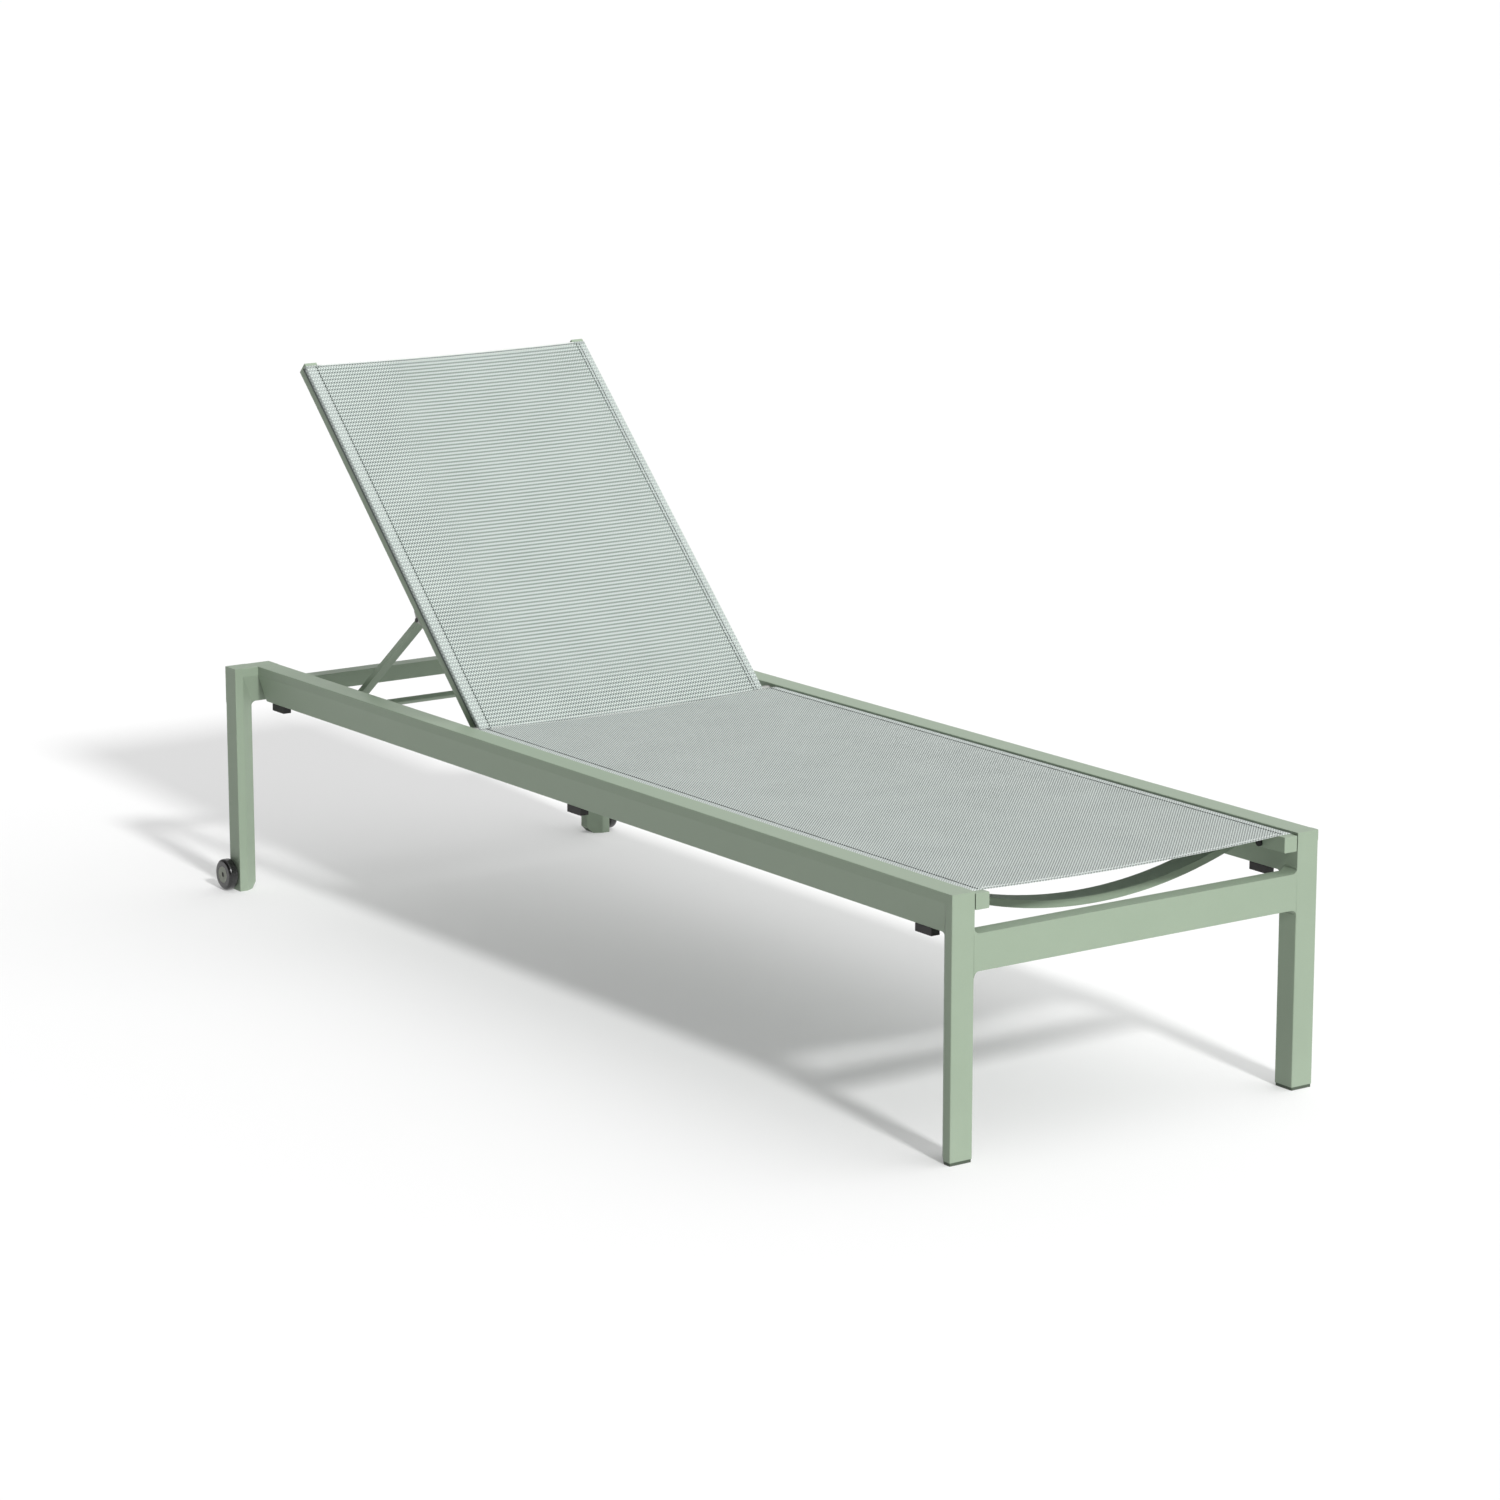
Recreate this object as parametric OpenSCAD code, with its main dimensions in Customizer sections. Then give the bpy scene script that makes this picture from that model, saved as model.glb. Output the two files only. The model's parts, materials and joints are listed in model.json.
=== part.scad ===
// Reclining sun lounger: a welded tube frame on four legs, a tight fabric seat,
// a folding fabric backrest held by a prop, and two small wheels at the head end.
// X runs across, Y runs from the foot end (-Y) to the head end (+Y), Z is up.

/* [Frame] */
// Length of the frame from the foot face to the head face
frame_l = 2000; // [1750:10:2200]
// Width over the outer faces of the two side rails
frame_w = 684; // [560:4:760]
// Height of the top of the side rails above the floor
frame_h = 396; // [330:2:450]
// Width of the top face of a side rail
rail_w = 40; // [34:1:46]
// Height of a side rail
rail_h = 64; // [56:1:76]
// Height of the upright strip along the outer edge of every frame tube
strip = 15; // [10:1:20]
// How far the lower part of a side rail leans in below the strip
rail_lean = 16; // [8:1:20]
// Wall of the frame tubes
wall = 2.4; // [1.6:0.2:3.2]
// Rounding of the long edges of the frame tubes
edge_r = 1.6; // [0.6:0.2:2.4]

/* [Foot frame] */
// Depth of a foot leg along the lounger
foot_leg_d = 38; // [30:1:46]
// Height of the bar between the foot legs
foot_bar_h = 55; // [40:1:64]
// Depth of the bar between the foot legs
foot_bar_d = 30; // [22:1:34]
// Drop from the rail tops to the top of the foot bar
foot_bar_drop = 62; // [50:1:80]
// Radius of the weld fillets in the frame corners
weld_r = 9; // [5:1:12]
// Height of the glide under a foot leg
glide_h = 5; // [3:0.5:10]

/* [Head frame] */
// How far the head legs stand out beyond the side rails
head_out = 45; // [38:1:60]
// Depth of the head legs and their arms along the lounger
head_d = 35; // [30:1:42]
// Width of a head leg across the lounger
head_leg_w = 40; // [34:1:44]
// Height of the bar between the head ends of the side rails
head_bar_h = 28; // [20:1:32]
// Depth of the bar between the head ends of the side rails
head_bar_d = 30; // [20:1:33]
// Drop from the rail tops to the top of the head bar
head_bar_drop = 31; // [29:0.5:36]
// Corner cut at the bottom of a head leg
leg_cut = 11; // [6:1:16]

/* [Slings] */
// Width and height of a sling tube
tube = 24; // [20:0.5:28]
// Wall of a sling tube
tube_wall = 2; // [1.4:0.2:2.6]
// Drop from the rail tops to the top of the seat tubes
seat_drop = 3.5; // [2.5:0.5:5]
// Gap between a side rail and the seat tube beside it
seat_gap = 2; // [1:0.5:4]
// Gap between a side rail and the back tube inside it
back_gap = 19; // [17:0.5:24]
// Thickness of the sling fabric
fabric_t = 1.5; // [1:0.1:2.5]
// Width of the bowed spreader bars
spreader_w = 39; // [26:1:46]
// Thickness of the bowed spreader bars
spreader_t = 11.5; // [9:0.5:13]
// Bow of the spreader bars at the middle
spreader_bow = 50; // [30:1:56]

/* [Backrest] */
// Distance of the backrest hinge from the foot face
hinge_from_foot = 1342; // [1200:2:1400]
// Length of a back tube above the hinge
back_l = 768; // [700:4:800]
// Angle of the backrest above level
back_angle = 44.4; // [40:0.2:48]
// Diameter of the hinge bolts
bolt_d = 8; // [6:0.5:9]
// Radial running clearance in the hinge bores
run_gap = 0.05; // [0.02:0.01:0.1]

/* [Prop] */
// Distance of the prop bolts from the hinge along the back tubes
prop_up = 245; // [215:1:265]
// Distance from the prop bolts to the middle of the bar of the prop
prop_l = 311; // [295:1:325]
// Thickness of the flat bar that the prop is made of
prop_t = 9; // [7:0.5:11]
// Width of the bar between the prop legs
prop_bar_w = 12; // [9:0.5:16]
// Diameter of the prop bolts
prop_bolt_d = 5; // [4:0.5:6]
// Diameter of the prop pins
pin_d = 9; // [7:0.5:10]
// How far the backrest lifts from this position
lift_up = 14; // [8:1:16]
// Number of notches in a rack
notches = 6; // [4:1:8]

/* [Wheels] */
// Diameter of the wheels
wheel_d = 54; // [46:1:64]
// Width of the tyres
tyre_w = 18; // [14:1:22]
// Diameter of the hubs
hub_d = 29; // [24:1:34]
// Distance of the axles from the head face
axle_in = 8; // [4:1:14]
// Height of the tyres above the floor
wheel_lift = 1; // [0.5:0.5:3]

/* [Hidden] */
$fn = 48;

// Colours of the finished surfaces
paint = [0.66, 0.71, 0.60];
paint_dark = [0.42, 0.48, 0.38];
fabric_colour = [0.74, 0.78, 0.76];
rubber = [0.13, 0.13, 0.13];
steel = [0.55, 0.56, 0.56];

// Slack that keeps cuts clear of faces
slack = 1;
// Gap between parts of two moving bodies
body_gap = 0.3;
// Length of a corner piece on an edge, in steps
edge_steps = 3;

// Places across the lounger
rail_out = frame_w / 2;
rail_in = rail_out - rail_w;
seat_out = rail_in - seat_gap;
seat_in = seat_out - tube;
back_out = rail_in - back_gap;
back_in = back_out - tube;
leg_out = rail_out + head_out;
leg_in = leg_out - head_leg_w;
lug_t = 2.6;
prop_out = back_out - lug_t - body_gap;
prop_in = back_in + lug_t + body_gap;
rack_t = 4;

// Places along the lounger
axle_from_foot = frame_l - axle_in;
overall_l = axle_from_foot + wheel_d / 2;
foot_y = -overall_l / 2;
head_y = foot_y + frame_l;
hinge_y = foot_y + hinge_from_foot;
axle_y = foot_y + axle_from_foot;
seat_end = hinge_from_foot - 20;
cap_t = 3;
plug_h = 18;
sling_start = 13;
sling_end = seat_end - 4;

// Heights
rail_bottom = frame_h - rail_h;
seat_top = frame_h - seat_drop;
seat_mid = seat_top - tube / 2;
hinge_z = seat_mid;
head_bar_top = frame_h - head_bar_drop;
foot_bar_top = frame_h - foot_bar_drop;
axle_z = wheel_lift + wheel_d / 2;
spreader_z = seat_mid - tube / 2 + 2;

// Prop: its bolts hang just under the back tubes, its pins run level along the rails
prop_gap = 0.5;
prop_drop = tube / 2 + prop_gap + prop_t / 2;
pin_z = rail_bottom + 14.8;
bolt_rise = prop_up * sin(back_angle) - prop_drop * cos(back_angle);
prop_angle = asin((hinge_z + bolt_rise - pin_z) / prop_l);
flat_angle = asin((hinge_z - prop_drop - pin_z) / prop_l);
prop_ratio = 1 + (prop_angle - flat_angle) / back_angle;

// Seat fixings along the lounger
bolt_places = [55, seat_end / 2, seat_end - 60];
seat_bolt_d = 6;
bolt_head_d = 12;
seat_bolt_z = seat_mid - tube / 2 + bolt_head_d / 2 + 0.5;
spreader_places = [98, seat_end / 2 + 25, seat_end - 150];
pad_l = 38;
pad_w = 15;
pad_h = 12;
pad_places = [foot_leg_d + 30, frame_l / 2 - 29, frame_l - head_d - 58];

// Outline of a side rail seen from the foot end, outer side at negative X
function rail_outline() = [
    [-rail_out + rail_lean, rail_bottom], [-rail_in, rail_bottom], [-rail_in, frame_h],
    [-rail_out, frame_h], [-rail_out, frame_h - strip]
];
// Outline of a foot leg seen from above
function foot_leg_outline() = [
    [-rail_out, foot_y], [-rail_in, foot_y], [-rail_in, foot_y + foot_leg_d],
    [-rail_out + rail_lean, foot_y + foot_leg_d], [-rail_out, foot_y + strip]
];
// Outline of a head leg seen from above
function head_leg_outline() = [
    [-leg_out, head_y - head_d], [-leg_out + strip, head_y - head_d],
    [-leg_in, head_y - head_d + rail_lean], [-leg_in, head_y], [-leg_out, head_y]
];
// Outline of a head arm seen from the side, as Y and Z
function head_arm_outline() = [
    [head_y - head_d + rail_lean, rail_bottom], [head_y, rail_bottom], [head_y, frame_h],
    [head_y - head_d, frame_h], [head_y - head_d, frame_h - strip]
];

function unit(v) = v / norm(v);
function left_of(v) = [-v[1], v[0]];
function before(p, i) = p[(i + len(p) - 1) % len(p)];
function after(p, i) = p[(i + 1) % len(p)];
// Points of an outline with each corner rounded by a short curve
function eased(p, r) = [
    for (i = [0:len(p) - 1], k = [0:edge_steps])
    let (b = p[i], s = b + unit(before(p, i) - b) * r, e = b + unit(after(p, i) - b) * r, t = k / edge_steps)
    (1 - t) * (1 - t) * s + 2 * t * (1 - t) * b + t * t * e
];
// Points of an anticlockwise outline moved inwards by w
function inset(p, w) = [
    for (i = [0:len(p) - 1])
    let (n0 = left_of(unit(p[i] - before(p, i))), n1 = left_of(unit(after(p, i) - p[i])))
    p[i] + w * (n0 + n1) / (1 + n0 * n1)
];

// Solid of an XZ outline between two Y places
module along_y(y0, y1) {
    translate([0, y1, 0]) rotate([90, 0, 0]) linear_extrude(y1 - y0) children();
}
// Solid of a YZ outline between two X places
module along_x(x0, x1) {
    translate([x0, 0, 0]) rotate([90, 0, 90]) linear_extrude(x1 - x0) children();
}
// Cylinder along X between two X places
module rod_x(x0, x1, d) {
    translate([x0, 0, 0]) rotate([0, 90, 0]) cylinder(h = x1 - x0, d = d);
}
// Child on the right-hand side, mirrored from the left
module right_side() {
    mirror([1, 0, 0]) children();
}
// Concave weld fillet that fills the corner at the origin towards +X and +Y
module fillet_2d(r) {
    difference() {
        square(r);
        translate([r, r]) circle(r);
    }
}
// Rectangle with round corners, centred
module round_box_2d(w, h, r) {
    square([w - 2 * r, h], center = true);
    square([w, h - 2 * r], center = true);
    for (x = [-1, 1], y = [-1, 1]) translate([x * (w / 2 - r), y * (h / 2 - r)]) circle(r);
}

// Side rail: a hollow extrusion that runs from the foot leg to the head arm
module side_rail() {
    color(paint) difference() {
        along_y(foot_y + foot_leg_d, head_y - head_d) polygon(eased(rail_outline(), edge_r));
        along_y(foot_y + foot_leg_d - slack, head_y - head_d + slack) polygon(inset(rail_outline(), wall));
        for (y = bolt_places) translate([0, foot_y + y, seat_bolt_z]) rod_x(-rail_in - 10, -rail_in + slack, seat_bolt_d);
        translate([0, hinge_y, hinge_z]) rod_x(-rail_in - 10, -rail_in + slack, bolt_d);
    }
}
module side_rail_left() { side_rail(); }
module side_rail_right() { right_side() side_rail(); }

// Foot leg: upright tube with the mitred front corner of the side rail
module foot_leg() {
    color(paint) difference() {
        union() {
            translate([0, 0, glide_h]) linear_extrude(frame_h - glide_h) polygon(eased(foot_leg_outline(), edge_r));
            along_y(foot_y, foot_y + foot_leg_d) polygon(eased(rail_outline(), edge_r));
            translate([0, foot_y + foot_leg_d, rail_bottom]) mirror([0, 0, 1])
                along_x(-rail_out + rail_lean + edge_r, -rail_in - edge_r) fillet_2d(weld_r);
        }
        translate([0, 0, -slack]) linear_extrude(rail_bottom) polygon(inset(foot_leg_outline(), wall));
    }
}
module foot_leg_left() { foot_leg(); }
module foot_leg_right() { right_side() foot_leg(); }

// Bar between the foot legs, with weld fillets above and below at both ends
module foot_crossbar() {
    low = foot_bar_top - foot_bar_h;
    color(paint) difference() {
        along_y(foot_y, foot_y + foot_bar_d) {
            translate([-rail_in, low]) square([2 * rail_in, foot_bar_h]);
            for (side = [0, 1]) mirror([side, 0]) translate([-rail_in, 0]) {
                translate([0, foot_bar_top]) fillet_2d(weld_r);
                translate([0, low]) mirror([0, 1]) fillet_2d(weld_r);
            }
        }
        translate([-rail_in - slack, foot_y + wall, low + wall])
            cube([2 * rail_in + 2 * slack, foot_bar_d - 2 * wall, foot_bar_h - 2 * wall]);
    }
}

// Glide: a foot pad with a plug inside the leg
module foot_glide() {
    color(paint_dark) {
        linear_extrude(glide_h) polygon(eased(inset(foot_leg_outline(), 0.8), edge_r));
        translate([0, 0, glide_h]) linear_extrude(plug_h) polygon(inset(foot_leg_outline(), wall));
    }
}
module foot_glide_left() { foot_glide(); }
module foot_glide_right() { right_side() foot_glide(); }

// Head leg: upright tube outside the rail, with the mitred corner of its arm
module head_leg() {
    color(paint) difference() {
        union() {
            linear_extrude(frame_h) polygon(eased(head_leg_outline(), edge_r));
            along_x(-leg_out, -rail_out) polygon(eased(head_arm_outline(), edge_r));
            translate([-leg_in, 0, rail_bottom]) mirror([0, 0, 1])
                along_y(head_y - head_d + rail_lean + edge_r, head_y - edge_r) fillet_2d(weld_r);
        }
        translate([0, 0, -slack]) linear_extrude(rail_bottom) polygon(inset(head_leg_outline(), wall));
        leg_corner_cut();
        translate([0, axle_y, axle_z]) rod_x(-leg_out - slack, -leg_out + wall + slack, axle_d);
    }
}
module head_leg_left() { head_leg(); }
module head_leg_right() { right_side() head_leg(); }

// Cut across the inner bottom corner of a head leg
module leg_corner_cut() {
    side = leg_cut * sqrt(2);
    translate([-leg_in, head_y - head_d - slack, 0]) rotate([0, 45, 0])
        translate([-side / 2, 0, -side / 2]) cube([side, head_d + 2 * slack, side]);
}
// Plug that closes the bottom of a head leg
module head_plug() {
    color(paint_dark) difference() {
        linear_extrude(plug_h) polygon(inset(head_leg_outline(), wall));
        leg_corner_cut();
    }
}
module head_plug_left() { head_plug(); }
module head_plug_right() { right_side() head_plug(); }

// Head arm: closes the end of the side rail and carries the head leg
module head_arm() {
    color(paint) along_x(-rail_out, -rail_in) polygon(eased(head_arm_outline(), edge_r));
}
module head_arm_left() { head_arm(); }
module head_arm_right() { right_side() head_arm(); }

// Bar between the head arms, low enough for the backrest to lie over it
module head_crossbar() {
    y0 = head_y - head_bar_d;
    color(paint) difference() {
        along_x(-rail_in, rail_in) translate([y0 + head_bar_d / 2, head_bar_top - head_bar_h / 2])
            round_box_2d(head_bar_d, head_bar_h, edge_r);
        translate([-rail_in - slack, y0 + wall, head_bar_top - head_bar_h + wall])
            cube([2 * rail_in + 2 * slack, head_bar_d - 2 * wall, head_bar_h - 2 * wall]);
    }
}
// Pads on the head bar, under the back tubes when the backrest lies flat
module back_rest_pads() {
    y = head_y - (head_d - rail_lean) / 2;
    top = hinge_z - tube / 2 - body_gap;
    for (x = [-1, 1]) color(rubber) translate([x * (back_in + tube / 2), y, head_bar_top])
        translate([-tube / 2 + 3, -8, 0]) cube([tube - 6, 16, top - head_bar_top]);
}

// Pads under a side rail, on which the next lounger rests in a stack
module stacking_pads(x) {
    for (y = pad_places) color(rubber) translate([x, foot_y + y, rail_bottom - pad_h])
        cube([pad_w, pad_l, pad_h]);
}
module stacking_pads_left() { stacking_pads(-rail_out + rail_lean); }
module stacking_pads_right() { stacking_pads(rail_in); }

// Groove for the edge rod of the fabric, on the outer side of a tube
groove_x = -tube / 2 + 3.4;
groove_slot = 2.2;
groove_r = 2.3;
groove_low = seat_bolt_z - seat_mid + seat_bolt_d / 2 + groove_r + body_gap;
groove_z = max(tube / 2 - 10, groove_low);

// Section of a sling tube, centred, outer side at negative X
module tube_section() {
    difference() {
        polygon(eased([[-tube, -tube] / 2, [tube, -tube] / 2, [tube, tube] / 2, [-tube, tube] / 2], edge_r));
        difference() {
            square(tube - 2 * tube_wall, center = true);
            translate([groove_x, groove_z]) circle(groove_r + tube_wall * 0.8);
        }
        translate([groove_x, groove_z]) circle(groove_r);
        translate([-tube / 2 - slack, groove_z - groove_slot / 2])
            square([groove_x + tube / 2 + slack, groove_slot]);
    }
}
// Seat tube beside a side rail
module seat_tube() {
    color(paint) difference() {
        translate([-seat_out + tube / 2, 0, seat_mid])
            along_y(foot_y + cap_t, foot_y + seat_end - cap_t) tube_section();
        for (y = bolt_places) translate([0, foot_y + y, seat_bolt_z]) rod_x(-seat_out - slack, -seat_in + slack, seat_bolt_d);
    }
}
module seat_tube_left() { seat_tube(); }
module seat_tube_right() { right_side() seat_tube(); }

// Square end cap of a sling tube, centred
module tube_cap_2d() {
    polygon(eased([[-tube, -tube] / 2, [tube, -tube] / 2, [tube, tube] / 2, [-tube, tube] / 2], edge_r));
}
module seat_tube_caps() {
    for (side = [-1, 1], y = [0, seat_end - cap_t]) color(paint)
        translate([side * (seat_out - tube / 2), 0, seat_mid]) along_y(foot_y + y, foot_y + y + cap_t) tube_cap_2d();
}
// Spacers between the seat tubes and the side rails
module seat_tube_spacers() {
    for (side = [0, 1], y = bolt_places) color(steel) mirror([side, 0, 0])
        translate([0, foot_y + y, seat_bolt_z]) difference() {
            rod_x(-rail_in, -seat_out, bolt_head_d);
            rod_x(-rail_in - slack, -seat_out + slack, seat_bolt_d);
        }
}
// Bolts that hold the seat tubes to the side rails
module seat_tube_bolts() {
    for (side = [0, 1], y = bolt_places) color(rubber) mirror([side, 0, 0])
        translate([0, foot_y + y, seat_bolt_z]) {
            rod_x(-rail_in - 5, -seat_in, seat_bolt_d);
            rod_x(-seat_in, -seat_in + 3, bolt_head_d);
        }
}

// Bowed flat tube between two points at +-half, ends at height 0, middle at -bow
module bowed_bar(half, w, t, bow) {
    r = (half * half + bow * bow) / (2 * bow);
    difference() {
        along_y(-w / 2, w / 2) bow_band(half, r, bow, t);
        along_y(-w / 2 + tube_wall, w / 2 - tube_wall) bow_band(half + slack, r, bow, t - 2 * tube_wall);
    }
}
// Arc band that a bowed bar is cut from
module bow_band(half, r, bow, t) {
    intersection() {
        translate([0, r - bow]) difference() {
            circle(r + t / 2, $fn = 96);
            circle(r - t / 2, $fn = 96);
        }
        translate([-half, -bow - t]) square([2 * half, bow + 3 * t]);
    }
}
module seat_spreader(place) {
    color(paint) translate([0, foot_y + place + spreader_w / 2, spreader_z])
        bowed_bar(seat_in, spreader_w, spreader_t, spreader_bow);
}
module seat_spreader_foot() { seat_spreader(spreader_places[0]); }
module seat_spreader_middle() { seat_spreader(spreader_places[1]); }
module seat_spreader_head() { seat_spreader(spreader_places[2]); }

// Edge rod that locks the fabric in the groove of a tube
module spline_rod(y0, y1) {
    along_y(y0, y1) translate([groove_x, groove_z]) circle(groove_r);
}
module seat_spline() {
    color(rubber) translate([-seat_out + tube / 2, 0, seat_mid])
        spline_rod(foot_y + sling_start, foot_y + sling_end);
}
module seat_spline_left() { seat_spline(); }
module seat_spline_right() { right_side() seat_spline(); }

// Seat fabric, drawn flat over the seat tubes
module seat_sling() {
    color(fabric_colour) translate([-seat_out + 1, foot_y + sling_start, seat_top + body_gap])
        cube([2 * seat_out - 2, sling_end - sling_start, fabric_t]);
}

// Spacer on the hinge bolt between a side rail and a back tube
module hinge_spacer() {
    color(steel) translate([0, hinge_y, hinge_z]) difference() {
        rod_x(-rail_in, -back_out - body_gap, 22);
        rod_x(-rail_in - slack, -back_out + slack, bolt_d);
    }
}
module hinge_spacer_left() { hinge_spacer(); }
module hinge_spacer_right() { right_side() hinge_spacer(); }
// Hinge bolt, fixed in the side rail, with its head inside the back tube
module hinge_bolt() {
    color(rubber) translate([0, hinge_y, hinge_z]) {
        rod_x(-rail_in - 6, -back_in + body_gap, bolt_d);
        rod_x(-back_in + body_gap, -back_in + body_gap + 4, bolt_d * 1.8);
    }
}
module hinge_bolt_left() { hinge_bolt(); }
module hinge_bolt_right() { right_side() hinge_bolt(); }

// Child placed in the frame of the backrest: origin at the hinge, Y up the tubes, Z out of the fabric
module on_back() {
    translate([0, hinge_y, hinge_z]) rotate([back_angle, 0, 0]) children();
}
tube_foot = -12;
back_sling_start = -5.5;
back_sling_end = back_l - 3;
back_spline_start = bolt_d / 2 + 1;
// Back tube with a running bore for the hinge bolt
module back_tube() {
    color(paint) on_back() difference() {
        translate([-back_out + tube / 2, 0, 0]) along_y(tube_foot, back_l) tube_section();
        rod_x(-back_out - slack, -back_in + slack, bolt_d + 2 * run_gap);
    }
}
module back_tube_left() { back_tube(); }
module back_tube_right() { right_side() back_tube(); }
module back_tube_caps() {
    for (side = [-1, 1]) color(paint) on_back()
        translate([side * (back_out - tube / 2), 0, 0]) along_y(back_l, back_l + cap_t) tube_cap_2d();
}
module back_spreader(place) {
    color(paint) on_back() translate([0, place, spreader_z - seat_mid])
        bowed_bar(back_in, spreader_w, spreader_t, spreader_bow - 5);
}
module back_spreader_lower() { back_spreader(80); }
module back_spreader_upper() { back_spreader(back_l - 58); }
module back_spline() {
    color(rubber) on_back() translate([-back_out + tube / 2, 0, 0]) spline_rod(back_spline_start, back_sling_end);
}
module back_spline_left() { back_spline(); }
module back_spline_right() { right_side() back_spline(); }
// Back fabric, drawn flat over the back tubes
module back_sling() {
    color(fabric_colour) on_back() translate([-back_out + 1, back_sling_start, tube / 2 + body_gap])
        cube([2 * back_out - 2, back_sling_end - back_sling_start, fabric_t]);
}
// Bracket under a back tube: two lugs with the prop leg between them
lug_r = 4.6;
lug_half = 16;
module prop_bracket() {
    color(paint) on_back() difference() {
        union() {
            along_x(-back_out, -back_out + lug_t) lug_2d();
            along_x(-back_in - lug_t, -back_in) lug_2d();
        }
        translate([0, prop_up, -prop_drop]) rod_x(-back_out - slack, -back_in + slack, prop_bolt_d);
    }
}
module lug_2d() {
    polygon([
        [prop_up - lug_half, -tube / 2], [prop_up - lug_r, -prop_drop], [prop_up + lug_r, -prop_drop],
        [prop_up + lug_half, -tube / 2]
    ]);
    translate([prop_up, -prop_drop]) circle(lug_r);
}
module prop_bracket_left() { prop_bracket(); }
module prop_bracket_right() { right_side() prop_bracket(); }
// Bolt that carries a prop leg between the lugs of a bracket
module prop_bolt() {
    head_t = 1.2;
    color(rubber) on_back() translate([0, prop_up, -prop_drop]) {
        rod_x(-back_out, -back_in, prop_bolt_d);
        rod_x(-back_out - head_t, -back_out, prop_bolt_d * 1.5);
        rod_x(-back_in, -back_in + head_t, prop_bolt_d * 1.5);
    }
}
module prop_bolt_left() { prop_bolt(); }
module prop_bolt_right() { right_side() prop_bolt(); }

// Place of the prop bolts, and of the prop pins, when the backrest has turned by a from rest
function prop_top(a) = [hinge_y, hinge_z] + prop_up * [cos(back_angle + a), sin(back_angle + a)]
    + prop_drop * [sin(back_angle + a), -cos(back_angle + a)];
function pin_place(a) =
    let (d = -prop_angle + a - prop_ratio * a) prop_top(a) + prop_l * [cos(d), sin(d)];
// Child placed in the frame of the prop: origin at its bolts, Y down the prop
module on_prop() {
    top = prop_top(0);
    translate([0, top[0], top[1]]) rotate([-prop_angle, 0, 0]) children();
}
// Leg of the prop: a flat bar with a round end at its bolt
module prop_leg() {
    color(paint) on_prop() difference() {
        along_x(-prop_out, -prop_in) {
            circle(d = prop_t);
            translate([0, -prop_t / 2]) square([prop_l + prop_bar_w / 2, prop_t]);
        }
        rod_x(-prop_out - slack, -prop_in + slack, prop_bolt_d + 2 * run_gap);
        translate([0, prop_l, 0]) rod_x(-prop_out - slack, -prop_in + slack, prop_bolt_d);
    }
}
module prop_leg_left() { prop_leg(); }
module prop_leg_right() { right_side() prop_leg(); }
// Bar between the lower ends of the prop legs
module prop_crossbar() {
    color(paint) on_prop() along_x(-prop_in, prop_in) translate([prop_l, 0])
        round_box_2d(prop_bar_w, prop_t, edge_r);
}
// Pins on the outside of the prop legs that run along the racks
module prop_pins() {
    place = pin_place(0);
    for (side = [0, 1]) color(steel) mirror([side, 0, 0]) translate([0, place[0], place[1]]) {
        rod_x(-prop_out, -prop_in, prop_bolt_d);
        rod_x(-rail_in + body_gap, -prop_out, pin_d);
    }
}

// Rack: a notched plate on the inner face of a side rail, just under the path of the pins
rack_gap = 0.4;
notch_depth = 3;
rack_step = 2;
rack_end = 22;
rack_low = rail_bottom + 3;
rivet_d = 6;
function rack_top() = [
    for (a = [-back_angle:rack_step:lift_up]) let (p = pin_place(a)) [p[0], p[1] - pin_d / 2 - rack_gap]
];
module prop_rack() {
    top = rack_top();
    last = len(top) - 1;
    head = [top[0][0], pin_place(-back_angle)[1]];
    foot = [top[last][0], pin_place(lift_up)[1]];
    color(steel) along_x(-rail_in, -rail_in + rack_t) difference() {
        polygon(concat(
            [[head[0] + rack_end, rack_low], [head[0] + rack_end, head[1]], [head[0] + pin_d, head[1]],
             [head[0] + pin_d, top[0][1]]],
            top,
            [[foot[0] - pin_d, top[last][1]], [foot[0] - pin_d, foot[1]], [foot[0] - rack_end, foot[1]],
             [foot[0] - rack_end, rack_low]]
        ));
        for (i = [0:notches - 1]) let (a = -back_angle * i / (notches - 1), p = pin_place(a))
            translate([p[0], p[1] - rack_gap - notch_depth]) circle(d = pin_d);
    }
}
module prop_rack_left() { prop_rack(); }
module prop_rack_right() { right_side() prop_rack(); }
module prop_rack_rivets() {
    head_y_place = pin_place(-back_angle)[0] + (rack_end + pin_d) / 2;
    foot_y_place = pin_place(lift_up)[0] - (rack_end + pin_d) / 2;
    for (side = [0, 1], y = [head_y_place, foot_y_place]) color(steel) mirror([side, 0, 0])
        translate([0, y, rack_low + rivet_d / 2 + 2]) rod_x(-rail_in + rack_t, -rail_in + rack_t + 1.2, rivet_d);
}

// Wheel axle: a pin in the head leg with a collar on each side of the hub
axle_d = 8;
collar_t = 1.5;
hub_x0 = leg_out + collar_t + body_gap;
hub_x1 = hub_x0 + tyre_w;
recess = 3;
axle_head_d = 9;
module wheel_axle() {
    color(rubber) translate([0, axle_y, axle_z]) {
        rod_x(-hub_x1 + recess - body_gap, -leg_out + wall + 6, axle_d);
        rod_x(-leg_out - collar_t, -leg_out, axle_d * 1.8);
        rod_x(-hub_x1 + 1, -hub_x1 + recess - body_gap, axle_head_d);
    }
}
module wheel_axle_left() { wheel_axle(); }
module wheel_axle_right() { right_side() wheel_axle(); }
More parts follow.
